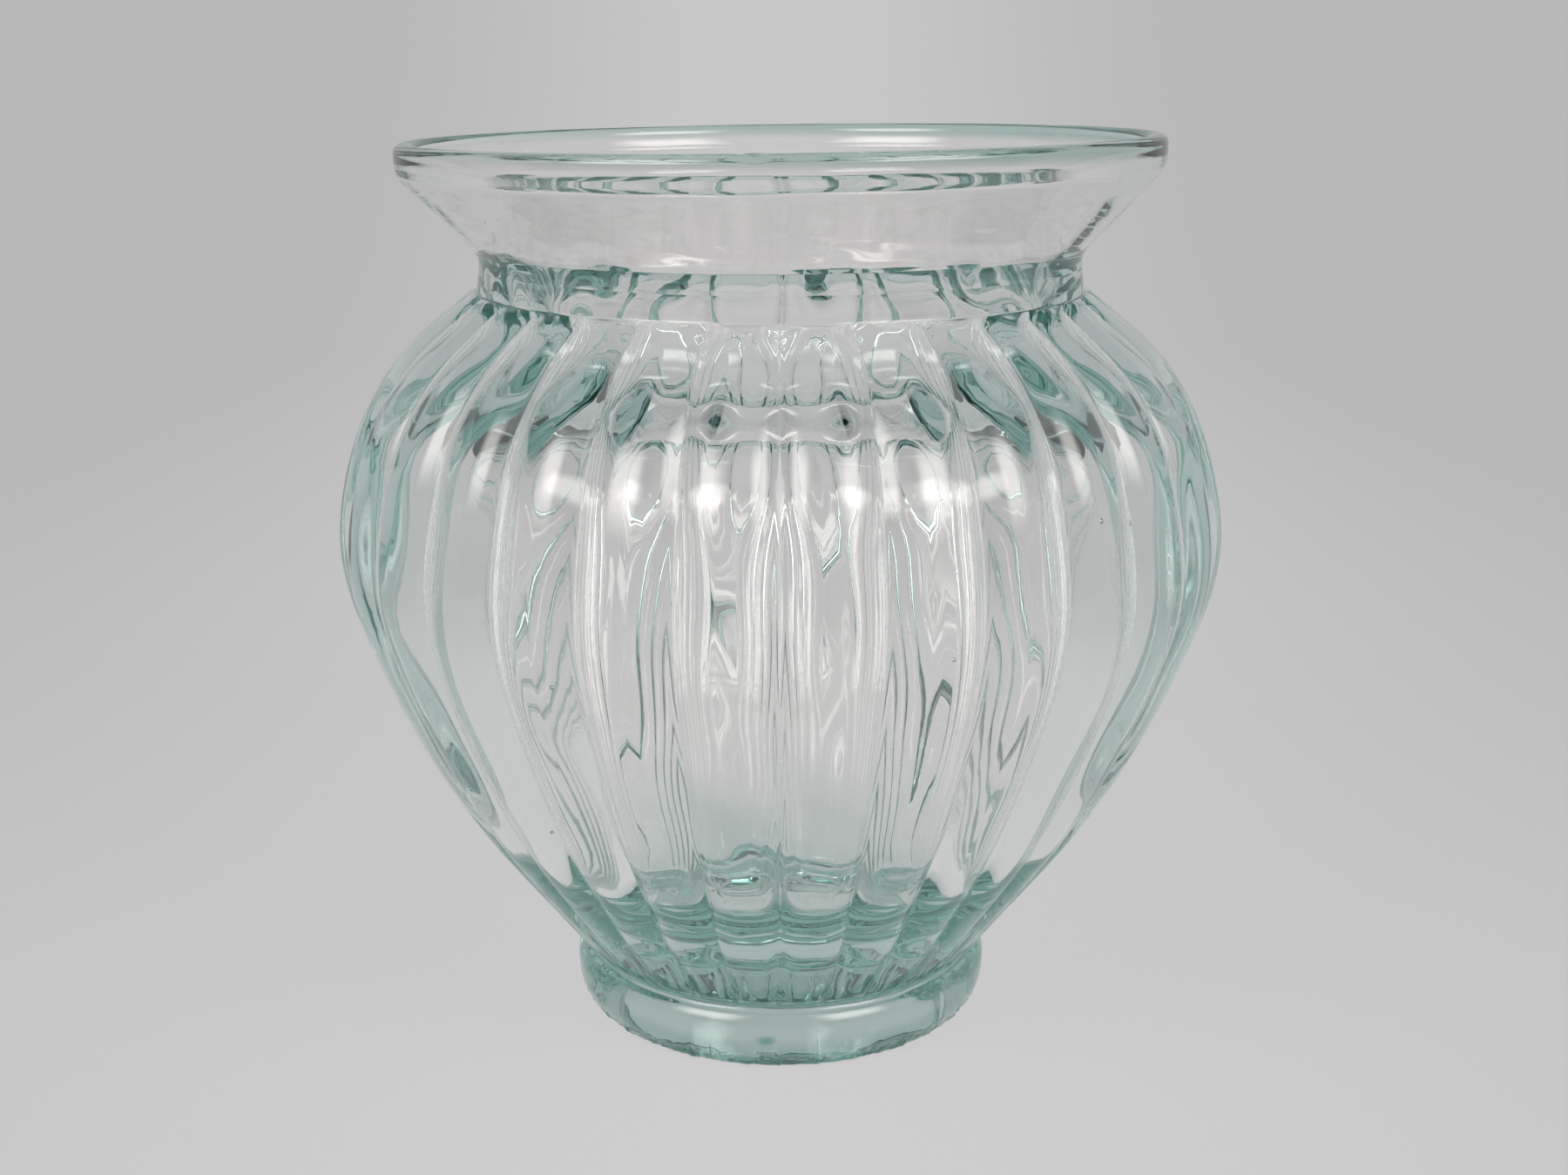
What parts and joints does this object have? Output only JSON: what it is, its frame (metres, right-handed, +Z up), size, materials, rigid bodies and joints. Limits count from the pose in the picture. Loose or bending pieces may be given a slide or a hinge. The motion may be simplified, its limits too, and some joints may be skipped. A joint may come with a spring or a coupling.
{
  "type": "ribbed urn vase",
  "caption": "Free-standing clear glass urn vase with a convex-ribbed bowl, a plain neck, a flared collar with a rounded rim and a round ring foot.",
  "frame": {"origin": "centre of the flat bearing ring under the foot, on the surface that the vase stands on", "axes": "+Z up along the axis of the vase; a groove between two ribs faces -Y, the side that the picture shows"},
  "size_m": [0.1652, 0.1644, 0.1674],
  "materials": {
    "aqua_glass": "fire-polished clear glass with a pale aqua tint"
  },
  "bodies": {
    "root": {"foot": "aqua_glass", "ribbed_bowl": "aqua_glass", "flared_collar": "aqua_glass"}
  },
  "joints": []
}
